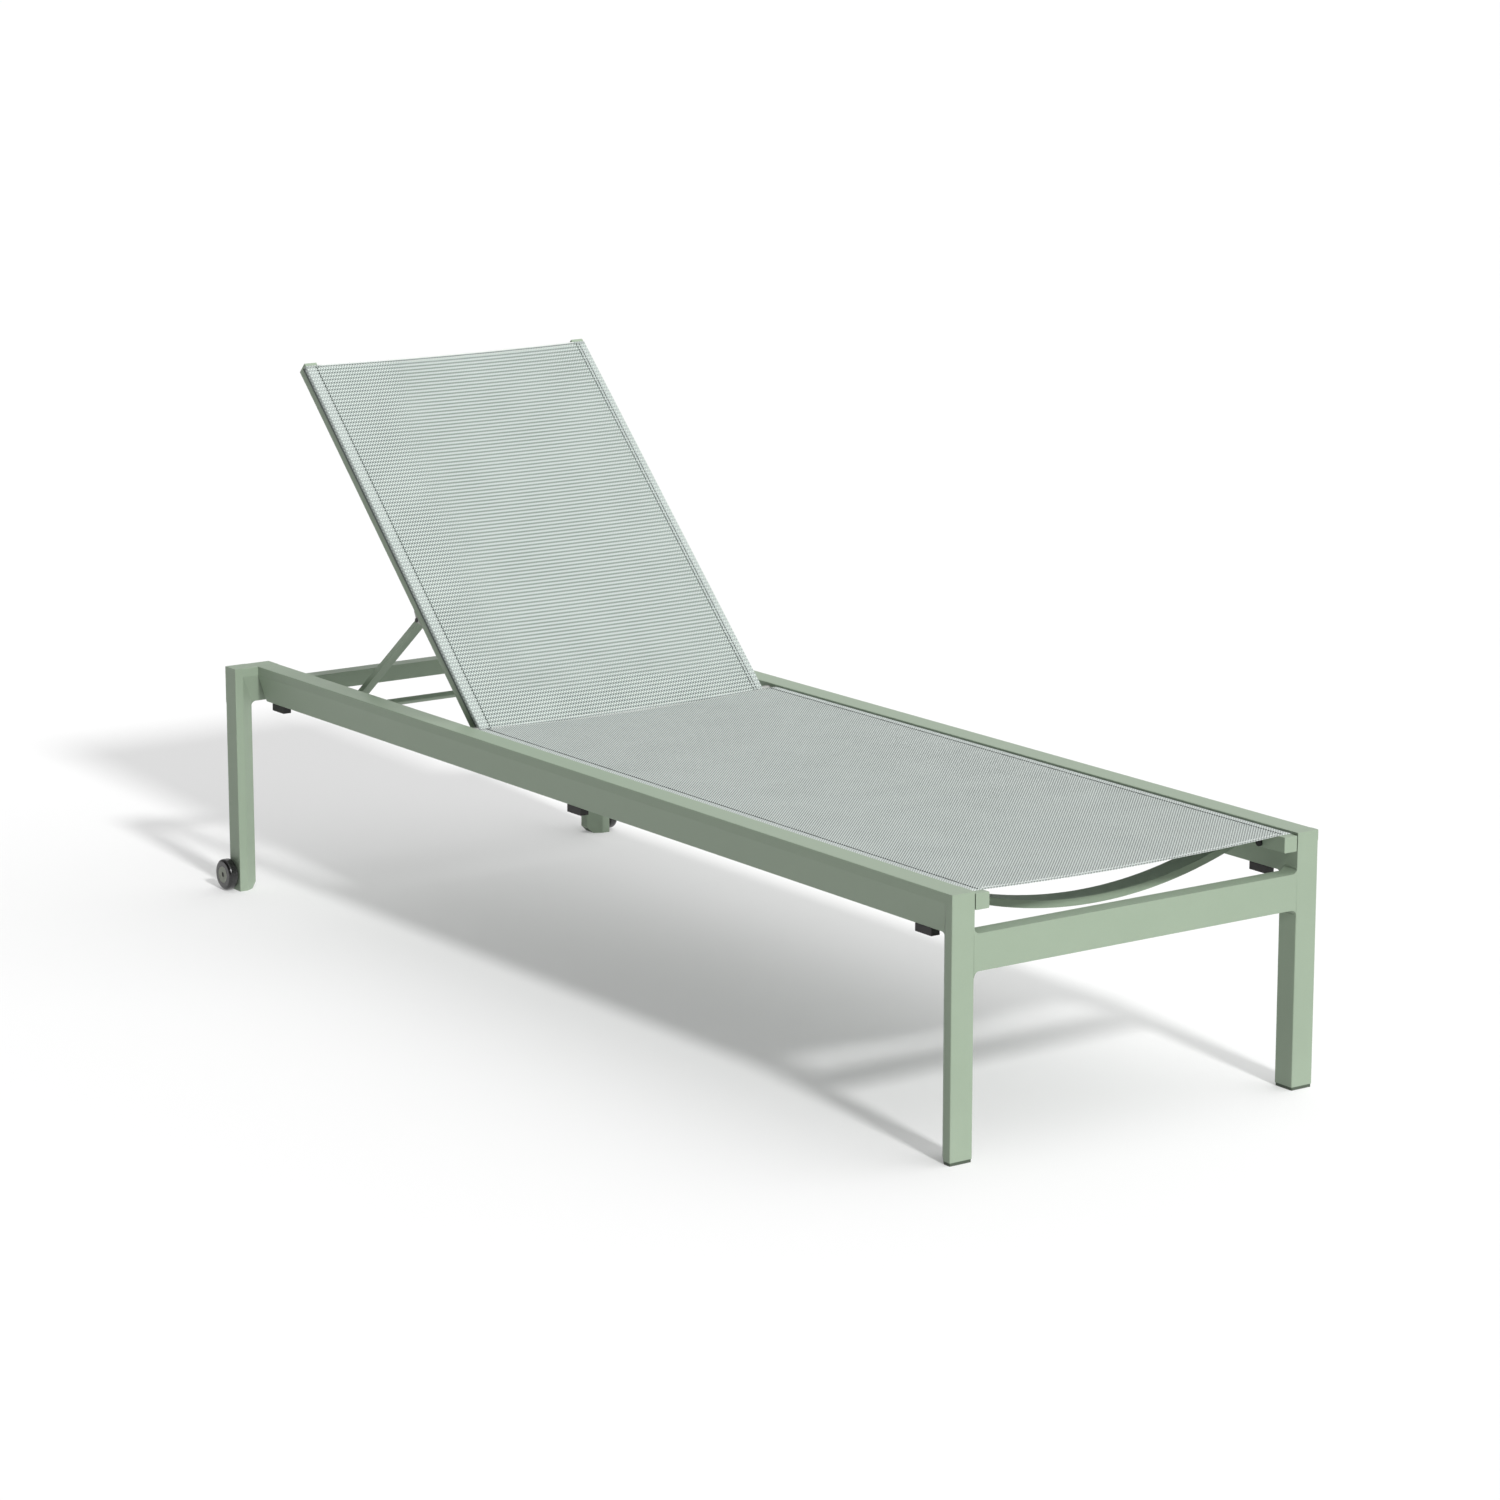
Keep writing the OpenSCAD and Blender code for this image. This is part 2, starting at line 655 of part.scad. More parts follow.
// Hub: a disc with a running bore and a recess for the axle head
module wheel_hub() {
    color(paint_dark) translate([0, axle_y, axle_z]) difference() {
        rod_x(-hub_x1, -hub_x0, hub_d);
        rod_x(-hub_x1 - slack, -hub_x0 + slack, axle_d + 2 * run_gap);
        rod_x(-hub_x1 - slack, -hub_x1 + recess, axle_head_d + 2 * body_gap);
    }
}
module wheel_hub_left() { wheel_hub(); }
module wheel_hub_right() { right_side() wheel_hub(); }
// Tyre: a round-shouldered ring around the hub
module wheel_tyre() {
    band = (wheel_d - hub_d) / 2;
    color(rubber) translate([-hub_x1 + tyre_w / 2, axle_y, axle_z]) rotate([0, 90, 0])
        rotate_extrude($fn = 96) translate([hub_d / 2 + band / 2, 0]) tyre_section(band);
}
// Section of a tyre: flat against the hub, round at the tread
module tyre_section(band) {
    shoulder = 5;
    intersection() {
        translate([-band, 0]) round_box_2d(3 * band, tyre_w, shoulder);
        square([band, tyre_w], center = true);
    }
}
module wheel_tyre_left() { wheel_tyre(); }
module wheel_tyre_right() { right_side() wheel_tyre(); }

side_rail_left();
side_rail_right();
foot_leg_left();
foot_leg_right();
foot_crossbar();
foot_glide_left();
foot_glide_right();
head_leg_left();
head_leg_right();
head_plug_left();
head_plug_right();
head_arm_left();
head_arm_right();
head_crossbar();
back_rest_pads();
stacking_pads_left();
stacking_pads_right();
seat_tube_left();
seat_tube_right();
seat_tube_caps();
seat_tube_spacers();
seat_tube_bolts();
seat_spreader_foot();
seat_spreader_middle();
seat_spreader_head();
seat_spline_left();
seat_spline_right();
seat_sling();
hinge_spacer_left();
hinge_spacer_right();
hinge_bolt_left();
hinge_bolt_right();
prop_rack_left();
prop_rack_right();
prop_rack_rivets();
wheel_axle_left();
wheel_axle_right();
back_tube_left();
back_tube_right();
back_tube_caps();
back_spreader_lower();
back_spreader_upper();
back_spline_left();
back_spline_right();
back_sling();
prop_bolt_left();
prop_bolt_right();
prop_bracket_left();
prop_bracket_right();
prop_leg_left();
prop_leg_right();
prop_crossbar();
prop_pins();
wheel_hub_left();
wheel_tyre_left();
wheel_hub_right();
wheel_tyre_right();
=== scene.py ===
"""Reclining sun lounger: woven slings, stitching, finishes, floor, light and camera."""

import json
import logging
import math
from dataclasses import dataclass, field
from enum import Enum
from itertools import accumulate, pairwise
from typing import Any, Callable, Sequence

import bmesh
import bpy
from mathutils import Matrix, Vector


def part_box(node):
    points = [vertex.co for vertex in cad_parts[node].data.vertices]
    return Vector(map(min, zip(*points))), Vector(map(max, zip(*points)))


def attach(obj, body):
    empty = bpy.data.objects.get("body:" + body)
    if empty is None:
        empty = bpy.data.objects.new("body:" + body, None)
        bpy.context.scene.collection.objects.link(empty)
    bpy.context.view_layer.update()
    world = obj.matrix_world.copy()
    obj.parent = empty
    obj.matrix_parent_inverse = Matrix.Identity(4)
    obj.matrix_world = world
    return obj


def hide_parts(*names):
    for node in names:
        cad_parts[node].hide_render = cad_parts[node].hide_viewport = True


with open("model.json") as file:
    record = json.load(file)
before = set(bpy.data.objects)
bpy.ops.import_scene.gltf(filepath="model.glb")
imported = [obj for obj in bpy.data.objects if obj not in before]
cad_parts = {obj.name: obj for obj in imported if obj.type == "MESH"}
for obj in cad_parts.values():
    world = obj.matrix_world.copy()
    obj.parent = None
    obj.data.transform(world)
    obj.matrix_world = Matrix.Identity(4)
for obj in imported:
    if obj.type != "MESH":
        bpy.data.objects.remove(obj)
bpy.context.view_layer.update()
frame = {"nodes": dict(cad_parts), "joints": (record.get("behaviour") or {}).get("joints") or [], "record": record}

LOG = logging.getLogger("sun_lounger")

MM = 0.001
MIDDLE = 0.5
CLOTH_UV = "cloth"
WHITE = (1.0, 1.0, 1.0)
ACROSS = Vector((1.0, 0.0, 0.0))
ALONG = Vector((0.0, 1.0, 0.0))
UP = Vector((0.0, 0.0, 1.0))

Colour = tuple[float, float, float]


class Side(Enum):
    """Side of the lounger, seen from its foot."""

    LEFT = -1
    RIGHT = 1


class End(Enum):
    """Cut end of a sling: the one nearer the foot and the one nearer the head."""

    LOWER = -1
    UPPER = 1


class Slot(Enum):
    """Material slots of the record."""

    POWDER = "powder_green"
    GLIDE = "glide_green"
    SLING = "sling_fabric"
    PAD = "pad_rubber"
    TYRE = "tyre_black"
    HUB = "hub_grey"
    BOLT = "bolt_dark"
    STEEL = "bracket_steel"


@dataclass(frozen=True)
class Grain:
    """Noise of one size: features in a metre, octaves, and the weight of the fine octaves."""

    scale: float
    detail: float = 3.0
    roughness: float = 0.5


@dataclass(frozen=True)
class Band:
    """Range of a value that is stretched from 0 to 1, and the share that it then counts for."""

    low: float
    high: float
    share: float = 1.0


class Wire:
    """Output of a shader node, with arithmetic written as Python expressions."""

    def __init__(self, graph: "Graph", socket: bpy.types.NodeSocket) -> None:
        """Wraps a socket.

        Args:
            graph: The node graph that the socket belongs to.
            socket: The output socket.
        """
        self.graph = graph
        self.socket = socket

    def _math(self, operation: str, *values: "Wire | float") -> "Wire":
        """Adds a Math node that works on the given values."""
        return self.graph.node("ShaderNodeMath", {"operation": operation}, dict(enumerate(values)))

    def __add__(self, other: "Wire | float") -> "Wire":
        """Sum."""
        return self._math("ADD", self, other)

    __radd__ = __add__

    def __sub__(self, other: "Wire | float") -> "Wire":
        """Difference."""
        return self._math("SUBTRACT", self, other)

    def __rsub__(self, other: float) -> "Wire":
        """Reflected difference, so that 1 - mask works."""
        return self._math("SUBTRACT", other, self)

    def __mul__(self, other: "Wire | float") -> "Wire":
        """Product."""
        return self._math("MULTIPLY", self, other)

    __rmul__ = __mul__

    def __truediv__(self, other: "Wire | float") -> "Wire":
        """Quotient."""
        return self._math("DIVIDE", self, other)

    def __rtruediv__(self, other: float) -> "Wire":
        """Reflected quotient."""
        return self._math("DIVIDE", other, self)

    def cos(self) -> "Wire":
        """Cosine of an angle in radians."""
        return self._math("COSINE", self)

    def sin(self) -> "Wire":
        """Sine of an angle in radians."""
        return self._math("SINE", self)

    def absolute(self) -> "Wire":
        """Value without its sign."""
        return self._math("ABSOLUTE", self)

    def clamp(self, low: float = 0.0, high: float = 1.0) -> "Wire":
        """Value held between two limits."""
        return self._math("MAXIMUM", self._math("MINIMUM", self, high), low)


class Graph:
    """Node graph of one material or of the studio's sky."""

    def __init__(self, owner: bpy.types.Material | bpy.types.World) -> None:
        """Empties the owner's node tree.

        Args:
            owner: The material or world that holds the nodes.
        """
        self.owner = owner
        owner.use_nodes = True
        self.tree = owner.node_tree
        self.tree.nodes.clear()

    @classmethod
    def for_material(cls, name: str) -> "Graph":
        """Starts a new material."""
        return cls(bpy.data.materials.new(name))

    def node(
        self,
        kind: str,
        settings: dict[str, Any] | None = None,
        values: dict[Any, Any] | None = None,
        output: int | str = 0,
    ) -> Wire:
        """Adds a node.

        Args:
            kind: Type name of the node.
            settings: Properties of the node, which are set first.
            values: Values or wires for the node's input sockets, by index or name.
            output: The output that is returned.

        Returns:
            The chosen output as a wire.
        """
        made = self.tree.nodes.new(kind)
        for key, value in (settings or {}).items():
            setattr(made, key, value)
        for key, value in (values or {}).items():
            self._feed(made.inputs[key], value)
        return Wire(self, made.outputs[output])

    def _feed(self, socket: bpy.types.NodeSocket, value: Any) -> None:
        """Links a wire to a socket, or sets the socket's own value.

        Args:
            socket: The input socket.
            value: A wire, a number, a colour or a vector.
        """
        if isinstance(value, Wire):
            self.tree.links.new(value.socket, socket)
        elif socket.type == "RGBA":
            socket.default_value = (*value, 1.0)
        else:
            socket.default_value = value

    def place(self) -> Wire:
        """Place on the object in metres."""
        return self.node("ShaderNodeTexCoord", output="Object")

    def axes(self, vector: Wire) -> tuple[Wire, Wire, Wire]:
        """Splits a vector into its three numbers."""
        parts = self.node("ShaderNodeSeparateXYZ", values={0: vector})
        return tuple(Wire(self, out) for out in parts.socket.node.outputs)

    def noise(self, place: Wire, grain: Grain) -> Wire:
        """Noise between 0 and 1.

        Args:
            place: Where on the surface, in metres.
            grain: Size and detail of the noise.

        Returns:
            The noise value.
        """
        values = {"Vector": place, "Scale": grain.scale, "Detail": grain.detail, "Roughness": grain.roughness}
        return self.node("ShaderNodeTexNoise", values=values)

    def ramp(self, value: Wire, band: Band) -> Wire:
        """Value stretched over a band, held inside it and weighed by the band's share."""
        return self.node("ShaderNodeMapRange", values={0: value, 1: band.low, 2: band.high}) * band.share

    def about(self, value: Wire, band: Band, middle: float) -> Wire:
        """Value that swings evenly about a middle, by the band's share in all."""
        return self.ramp(value, band) + (middle - band.share / 2)

    def mix(self, factor: Wire, first: Wire | Colour, second: Wire | Colour) -> Wire:
        """Mixes two colours.

        Args:
            factor: 0 gives the first colour and 1 the second.
            first: First colour.
            second: Second colour.

        Returns:
            The mixed colour.
        """
        return self.node("ShaderNodeMix", {"data_type": "RGBA"}, {0: factor, 6: first, 7: second}, output=2)

    def bump(self, height: Wire, distance: float, strength: float) -> Wire:
        """Turns a height into a normal.

        Args:
            height: The height, from 0 to 1.
            distance: What a height of 1 stands for, in metres.
            strength: Share of the effect.

        Returns:
            The normal.
        """
        values = {"Height": height, "Distance": distance, "Strength": strength}
        return self.node("ShaderNodeBump", values=values)

    def finish(self, sockets: dict[str, Any]) -> bpy.types.Material:
        """Adds the surface shader.

        Args:
            sockets: Values or wires of the Principled shader.

        Returns:
            The finished material.
        """
        self.surface("ShaderNodeOutputMaterial", self.node("ShaderNodeBsdfPrincipled", values=sockets))
        return self.owner

    def surface(self, kind: str, shader: Wire) -> None:
        """Links a shader to an output node of the given type."""
        made = self.tree.nodes.new(kind)
        self.tree.links.new(shader.socket, made.inputs["Surface"])


@dataclass(frozen=True)
class PowderCoat:
    """Baked powder paint with an orange-peel skin and dust in its low spots."""

    name: str = "powder_coat_green"
    colour: Colour = (0.254, 0.318, 0.238)
    dust: Colour = (0.34, 0.41, 0.32)
    roughness: float = 0.44
    specular: float = 0.28
    cloud: Grain = Grain(9.0, 4.0, 0.6)
    dusty_clouds: Band = Band(0.42, 0.78, 0.16)
    floor_height: Band = Band(0.0, 0.09)
    floor_dust: float = 0.35
    fleck: Grain = Grain(2600.0, 1.0)
    flecked: Band = Band(0.35, 0.65, 0.14)
    sheen: Band = Band(0.2, 0.8, 0.12)
    peel: Grain = Grain(620.0, 2.0)
    peel_height: float = 0.06 * MM
    peel_strength: float = 0.5

    def make(self) -> bpy.types.Material:
        """Builds the material.

        Returns:
            The finished material.
        """
        graph = Graph.for_material(self.name)
        place = graph.place()
        _, _, height = graph.axes(place)
        cloud = graph.noise(place, self.cloud)
        near_floor = 1 - graph.ramp(height, self.floor_height)
        dusty = (graph.ramp(cloud, self.dusty_clouds) + near_floor * cloud * self.floor_dust).clamp()
        flecks = graph.ramp(graph.noise(place, self.fleck), self.flecked)
        base = graph.mix(dusty, graph.mix(flecks, self.colour, self.dust), self.dust)
        rough = graph.about(cloud, self.sheen, self.roughness)
        normal = graph.bump(graph.noise(place, self.peel), self.peel_height, self.peel_strength)
        return graph.finish(
            {"Base Color": base, "Roughness": rough, "Normal": normal, "Specular IOR Level": self.specular}
        )


@dataclass(frozen=True)
class Moulding:
    """Moulded plastic or rubber with a fine cast grain and scuffs."""

    name: str
    colour: Colour
    scuff: Colour
    roughness: float
    scuffed: float = 0.3
    coat: float = 0.0
    coat_roughness: float = 0.15
    cloud: Grain = Grain(45.0, 4.0, 0.65)
    worn: Band = Band(0.5, 0.85)
    worn_sheen: float = 0.35
    grain: Grain = Grain(900.0, 3.0, 0.6)
    grain_sheen: Band = Band(0.3, 0.7, 0.08)
    grain_height: float = 0.08 * MM
    grain_strength: float = 0.6

    def make(self) -> bpy.types.Material:
        """Builds the material.

        Returns:
            The finished material.
        """
        graph = Graph.for_material(self.name)
        place = graph.place()
        grain = graph.noise(place, self.grain)
        worn = graph.ramp(graph.noise(place, self.cloud), self.worn) * self.scuffed
        rough = (worn * self.worn_sheen + graph.ramp(grain, self.grain_sheen) + self.roughness).clamp()
        return graph.finish(
            {
                "Base Color": graph.mix(worn, self.colour, self.scuff),
                "Roughness": rough,
                "Normal": graph.bump(grain, self.grain_height, self.grain_strength),
                "Coat Weight": self.coat,
                "Coat Roughness": self.coat_roughness,
            }
        )


@dataclass(frozen=True)
class Steel:
    """Plated or blackened steel with turning marks."""

    name: str
    colour: Colour
    stain: Colour
    roughness: float
    metallic: float = 1.0
    cloud: Grain = Grain(120.0, 4.0, 0.6)
    stained: Band = Band(0.45, 0.8, 0.6)
    sheen: Band = Band(0.3, 0.8, 0.25)
    marks: Grain = Grain(1400.0, 2.0)
    mark_height: float = 0.04 * MM
    mark_strength: float = 0.5

    def make(self) -> bpy.types.Material:
        """Builds the material.

        Returns:
            The finished material.
        """
        graph = Graph.for_material(self.name)
        place = graph.place()
        cloud = graph.noise(place, self.cloud)
        base = graph.mix(graph.ramp(cloud, self.stained), self.colour, self.stain)
        rough = (graph.ramp(cloud, self.sheen) + self.roughness).clamp()
        normal = graph.bump(graph.noise(place, self.marks), self.mark_height, self.mark_strength)
        return graph.finish(
            {"Base Color": base, "Roughness": rough, "Metallic": self.metallic, "Normal": normal}
        )


@dataclass(frozen=True)
class SlingWeave:
    """Coated-yarn weave: light and dark yarns over a basket of fine strands, with painted shade in the gaps
    between strands and a painted groove shadow along both side edges. Needs a UV map in metres.
    """

    name: str
    light: Colour
    dark: Colour
    contrast: float
    repeat_along: float
    pocket: float
    # Distance from the middle where the painted groove shadow begins.
    groove_shade: float
    repeat_across: float = 5.2 * MM
    dot_weight: float = 2.0
    roughness: float = 0.62
    specular: float = 0.35
    strands: int = 4
    crossing: float = 3.0
    # Share of the painted shade that darkens the gaps between strands.
    gap_shade_share: float = 0.35
    relief: float = 0.35 * MM
    relief_strength: float = 0.8
    cloud: Grain = Grain(14.0, 3.0, 0.55)
    pale_clouds: Band = Band(0.3, 0.8, 0.10)
    slub: Grain = Grain(420.0, 2.0)
    slub_share: float = 0.22
    sheen: Band = Band(0.3, 0.7, 0.12)
    pocket_tone: Colour = (0.60, 0.65, 0.64)
    pocket_share: float = 0.34
    pocket_edge: float = 1.5 * MM
    # Share, edge width and wander of the painted groove shadow.
    groove_shade_share: float = 0.85
    groove_shade_edge: float = 2.5 * MM
    groove_shade_wander: float = 3.0 * MM

    def make(self) -> bpy.types.Material:
        """Builds the material.

        Returns:
            The finished material.
        """
        graph = Graph.for_material(self.name)
        across, along, _ = graph.axes(graph.node("ShaderNodeUVMap", {"uv_map": CLOTH_UV}))
        relief, gaps = self._relief(across, along)
        place = graph.place()
        slub = graph.noise(place, self.slub)
        shade = (self._pattern(across, along) + (slub - MIDDLE) * self.slub_share).clamp()
        yarns = graph.mix(shade, self.dark, self.light)
        toned = graph.mix(graph.ramp(graph.noise(place, self.cloud), self.pale_clouds), yarns, self.light)
        # Painted shade: the gaps between strands darken toward the dark yarn, standing in for the shade seen
        # through the open weave.
        weave_with_shaded_gaps = graph.mix(gaps * self.gap_shade_share, toned, self.dark)
        pocket = Band(self.pocket, self.pocket + self.pocket_edge, self.pocket_share)
        doubled = graph.mix(graph.ramp(across.absolute(), pocket) * (1 - shade), weave_with_shaded_gaps, self.pocket_tone)
        # Painted shadow of the groove slot: beyond this distance from the middle the cloth darkens toward the dark
        # yarn, along a wandering edge.
        groove_shade = Band(self.groove_shade, self.groove_shade + self.groove_shade_edge, self.groove_shade_share)
        base = graph.mix(graph.ramp(across.absolute() + slub * self.groove_shade_wander, groove_shade), doubled, self.dark)
        rough = graph.about(slub, self.sheen, self.roughness)
        normal = graph.bump(relief, self.relief, self.relief_strength)
        return graph.finish(
            {"Base Color": base, "Roughness": rough, "Normal": normal, "Specular IOR Level": self.specular}
        )

    def _pattern(self, across: Wire, along: Wire) -> Wire:
        """Share of light yarn, with a dot where the dark yarns surface.

        Args:
            across: Place across the cloth in metres.
            along: Place along the cloth in metres.

        Returns:
            The share, from 0 to 1.
        """
        rows = (along * (math.tau / self.repeat_along)).cos()
        columns = (across * (math.tau / self.repeat_across)).cos() * self.dot_weight + 1
        return (rows * columns * (self.contrast / (self.dot_weight + 1) / 2) + MIDDLE).clamp()

    def _relief(self, across: Wire, along: Wire) -> tuple[Wire, Wire]:
        """Height of the strands and the gaps between them.

        Args:
            across: Place across the cloth in metres.
            along: Place along the cloth in metres.

        Returns:
            The height and the gaps, each from 0 to 1.
        """
        warp_turn = across * (math.pi * self.strands / self.repeat_across)
        weft_turn = along * (math.pi * self.strands / self.repeat_along)
        warp = warp_turn.sin().absolute()
        weft = weft_turn.sin().absolute()
        over = ((warp_turn / 2).cos() * (weft_turn / 2).cos() * self.crossing + MIDDLE).clamp()
        return warp * over + weft * (1 - over), ((1 - warp) * (1 - weft)).clamp()


@dataclass(frozen=True)
class Yarn:
    """Bonded sewing thread or a cut yarn of the cloth."""

    name: str
    colour: Colour
    twist: Colour
    roughness: float = 0.6
    ply: Grain = Grain(3000.0, 1.0)
    twisted: Band = Band(0.35, 0.65)
    sheen: Band = Band(0.3, 0.7, 0.1)
    ply_height: float = 0.1 * MM
    ply_strength: float = 0.6

    def make(self) -> bpy.types.Material:
        """Builds the material.

        Returns:
            The finished material.
        """
        graph = Graph.for_material(self.name)
        ply = graph.noise(graph.place(), self.ply)
        base = graph.mix(graph.ramp(ply, self.twisted), self.colour, self.twist)
        rough = graph.ramp(ply, self.sheen) + self.roughness
        normal = graph.bump(ply, self.ply_height, self.ply_strength)
        return graph.finish({"Base Color": base, "Roughness": rough, "Normal": normal})


@dataclass(frozen=True)
class Floor:
    """Matt studio floor."""

    name: str = "studio_floor"
    colour: Colour = (0.62, 0.62, 0.62)
    speck: Colour = (0.615, 0.615, 0.615)
    cloud: Grain = Grain(2.0, 2.0)
    roughness: float = 1.0
    specular: float = 0.0
    glow: float = 0.24

    def make(self) -> bpy.types.Material:
        """Builds the material.

        Returns:
            The finished material.
        """
        graph = Graph.for_material(self.name)
        return graph.finish(
            {
                "Base Color": graph.mix(graph.noise(graph.place(), self.cloud), self.colour, self.speck),
                "Roughness": self.roughness,
                "Specular IOR Level": self.specular,
                "Emission Color": WHITE,
                "Emission Strength": self.glow,
            }
        )


Finish = PowderCoat | Moulding | Steel | SlingWeave | Yarn | Floor


@dataclass
class Finishes:
    """Every finish of the lounger and its floor, made once."""

    powder: PowderCoat = PowderCoat()
    glide: Moulding = Moulding(
        "glide_plastic", colour=(0.060, 0.082, 0.055), scuff=(0.13, 0.15, 0.12), roughness=0.5
    )
    pad: Moulding = Moulding(
        "pad_rubber", colour=(0.022, 0.021, 0.021), scuff=(0.075, 0.073, 0.072), roughness=0.55
    )
    tyre: Moulding = Moulding(
        "tyre_rubber", colour=(0.008, 0.008, 0.008), scuff=(0.035, 0.034, 0.033), roughness=0.22,
        scuffed=0.18, coat=0.35,
    )
    hub: Moulding = Moulding(
        "hub_plastic", colour=(0.235, 0.255, 0.205), scuff=(0.36, 0.37, 0.33), roughness=0.42
    )
    bolt: Steel = Steel(
        "blackened_steel", colour=(0.035, 0.036, 0.035), stain=(0.09, 0.085, 0.075), roughness=0.38,
        metallic=0.7,
    )
    steel: Steel = Steel(
        "plated_steel", colour=(0.42, 0.43, 0.41), stain=(0.24, 0.24, 0.22), roughness=0.36
    )
    seat_weave: SlingWeave = SlingWeave(
        "seat_weave", light=(0.74, 0.80, 0.77), dark=(0.0, 0.012, 0.008), contrast=2.6,
        repeat_along=5.24 * MM, pocket=284 * MM, groove_shade=306 * MM,
    )
    back_weave: SlingWeave = SlingWeave(
        "back_weave", light=(0.62, 0.685, 0.65), dark=(0.04, 0.06, 0.052), contrast=1.6,
        repeat_along=7.21 * MM, pocket=266 * MM, groove_shade=288.5 * MM,
    )
    thread: Yarn = Yarn("sewing_thread", colour=(0.010, 0.016, 0.012), twist=(0.028, 0.036, 0.03))
    pale_yarn: Yarn = Yarn("pale_yarn", colour=(0.55, 0.58, 0.56), twist=(0.68, 0.71, 0.69))
    dark_yarn: Yarn = Yarn("dark_yarn", colour=(0.05, 0.06, 0.055), twist=(0.11, 0.12, 0.11))
    floor: Floor = Floor()
    made: dict[str, bpy.types.Material] = field(default_factory=dict)

    def material(self, finish: Finish) -> bpy.types.Material:
        """Material of a finish, built on first use.

        Args:
            finish: One of the finishes.

        Returns:
            The material.
        """
        if finish.name not in self.made:
            self.made[finish.name] = finish.make()
        return self.made[finish.name]

    def by_slot(self) -> dict[Slot, Finish]:
        """Finish of each material slot of the record.

        Returns:
            The finishes by slot.
        """
        return {
            Slot.POWDER: self.powder,
            Slot.GLIDE: self.glide,
            Slot.PAD: self.pad,
            Slot.TYRE: self.tyre,
            Slot.HUB: self.hub,
            Slot.BOLT: self.bolt,
            Slot.STEEL: self.steel,
            Slot.SLING: self.seat_weave,
        }


@dataclass
class Plane:
    """Flat reference under a sling: across is X, along runs up the tubes, out leaves the fabric's face."""

    origin: Vector
    along: Vector
    out: Vector

    def at(self, across: float, along: float, out: float) -> Vector:
        """Point of the plane in the lounger's frame."""
        return self.origin + ACROSS * across + self.along * along + self.out * out


class MeshPiece:
    """Mesh that is gathered face by face and becomes one piece."""

    def __init__(self, name: str) -> None:
        """Starts an empty mesh.

        Args:
            name: The piece's name.
        """
        self.name = name
        self.points: list[Vector] = []
        self.faces: list[tuple[int, ...]] = []
        self.uv: dict[int, tuple[float, float]] = {}

    def add(self, point: Vector, uv: tuple[float, float] | None = None) -> int:
        """Adds a point.

        Args:
            point: Its place in the lounger's frame.
            uv: Its place on the flat cloth, or None for a piece without a UV map.

        Returns:
            The point's number.
        """
        self.points.append(point)
        number = len(self.points) - 1
        if uv is not None:
            self.uv[number] = uv
        return number

    def tube(self, path: Sequence[Vector], radii: Sequence[float], across: Vector, sides: int) -> None:
        """Adds a closed round tube.

        Args:
            path: Points along its middle.
            radii: Radius at each point.
            across: A direction that isn't along the path.
            sides: Corners of its section.
        """
        turns = [math.tau * side / sides for side in range(sides)]
        rings = []
        for index, centre in enumerate(path):
            ahead = path[min(index + 1, len(path) - 1)] - path[max(index - 1, 0)]
            first = ahead.cross(across).normalized()
            second = ahead.cross(first).normalized()
            spokes = [first * math.cos(turn) + second * math.sin(turn) for turn in turns]
            rings.append([self.add(centre + spoke * radii[index]) for spoke in spokes])
        for low, high in pairwise(rings):
            for side in range(sides):
                after = (side + 1) % sides
                self.faces.append((low[side], low[after], high[after], high[side]))
        self.faces.append(tuple(reversed(rings[0])))
        self.faces.append(tuple(rings[-1]))

    def build(self, material: bpy.types.Material, body: str, slot: Slot) -> bpy.types.Object:
        """Makes the object, dresses it and lets it ride.

        Args:
            material: Its material.
            body: The body that it rides on.
            slot: The material slot of the record; not used.

        Returns:
            The new piece.
        """
        mesh = bpy.data.meshes.new(self.name)
        mesh.from_pydata([tuple(point) for point in self.points], [], self.faces)
        if self.uv:
            self._spread_flat(mesh)
        else:
            self._face_outward(mesh)
        mesh.polygons.foreach_set("use_smooth", [True] * len(mesh.polygons))
        mesh.materials.append(material)
        piece = bpy.data.objects.new(self.name, mesh)
        bpy.context.scene.collection.objects.link(piece)
        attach(piece, body)
        return piece

    def _spread_flat(self, mesh: bpy.types.Mesh) -> None:
        """Gives an open cloth its UV map in metres."""
        layer = mesh.uv_layers.new(name=CLOTH_UV)
        for loop in mesh.loops:
            layer.data[loop.index].uv = self.uv[loop.vertex_index]

    def _face_outward(self, mesh: bpy.types.Mesh) -> None:
        """Turns the faces of closed shells outward."""
        work = bmesh.new()
        work.from_mesh(mesh)
        bmesh.ops.recalc_face_normals(work, faces=work.faces)
        work.to_mesh(mesh)
        work.free()


@dataclass(frozen=True)
class Station:
    """Place on a stitch: share of its length, rise from the cloth and size, both in thread radii."""

    share: float
    rise: float
    size: float

    def mirrored(self) -> "Station":
        """Same station measured from the stitch's other tip."""
        return Station(1 - self.share, self.rise, self.size)


@dataclass(frozen=True)
class Stitch:
    """Stitch that leaves the cloth, runs over it and dips into it again."""

    pitch: float = 5.5 * MM
    length: float = 3.9 * MM
    thread: float = 0.75 * MM
    sides: int = 6
    tip: Station = Station(0.0, -0.5, 0.6)
    shoulder: Station = Station(0.2, 0.35, 0.95)
    crown: Station = Station(0.5, 0.6, 1.0)

    def stations(self) -> list[Station]:
        """Stations from one tip to the other."""
        return [self.tip, self.shoulder, self.crown, self.shoulder.mirrored(), self.tip.mirrored()]


